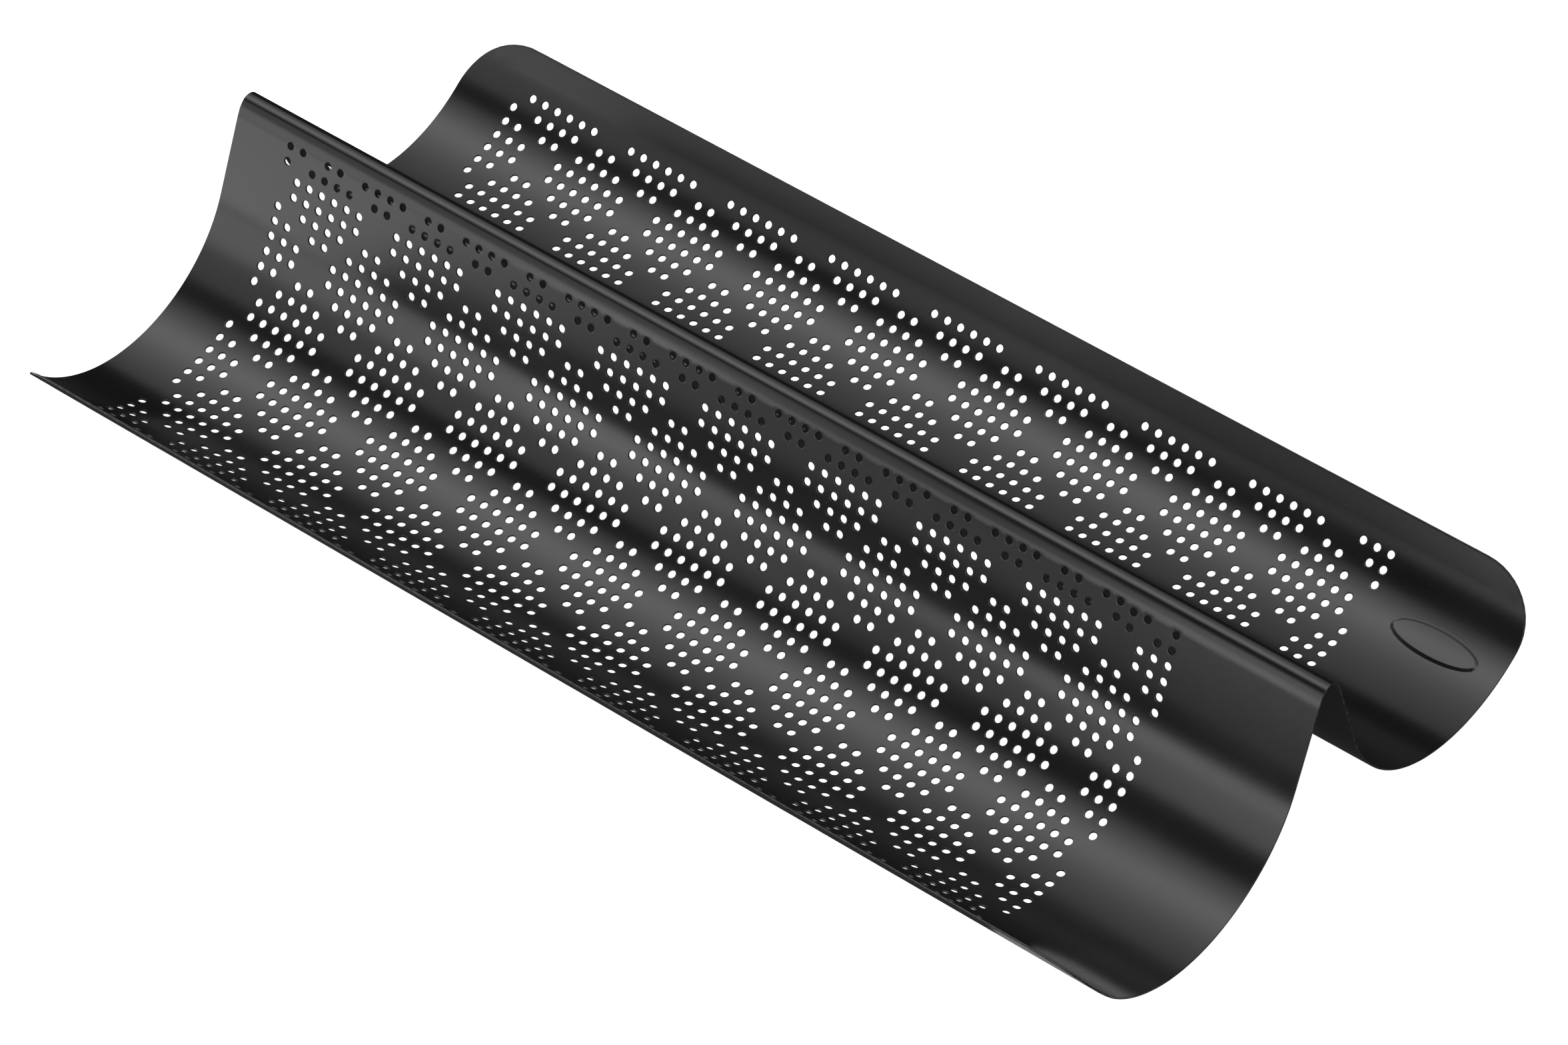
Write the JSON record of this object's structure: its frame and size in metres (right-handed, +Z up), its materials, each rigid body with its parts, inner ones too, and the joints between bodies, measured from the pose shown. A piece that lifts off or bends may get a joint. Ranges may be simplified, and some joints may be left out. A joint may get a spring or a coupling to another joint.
{
  "type": "baguette tray",
  "caption": "Perforated baguette tray: one thin sheet pressed into long round troughs side by side, joined by a rounded ridge, with rounded corners. It holds shaped dough while it bakes.",
  "frame": {"origin": "on the floor, below the middle of the ridge, at the centre of the tray's length", "axes": "+X along the troughs, towards the end with the blank pressed panel; +Y from the ridge towards the trough that carries the panel; +Z up"},
  "size_m": [0.386, 0.2026, 0.0607],
  "materials": {
    "black_coating": "semi-gloss black non-stick coating with a fine grain"
  },
  "bodies": {
    "root": {"tray": "black_coating"}
  },
  "joints": []
}
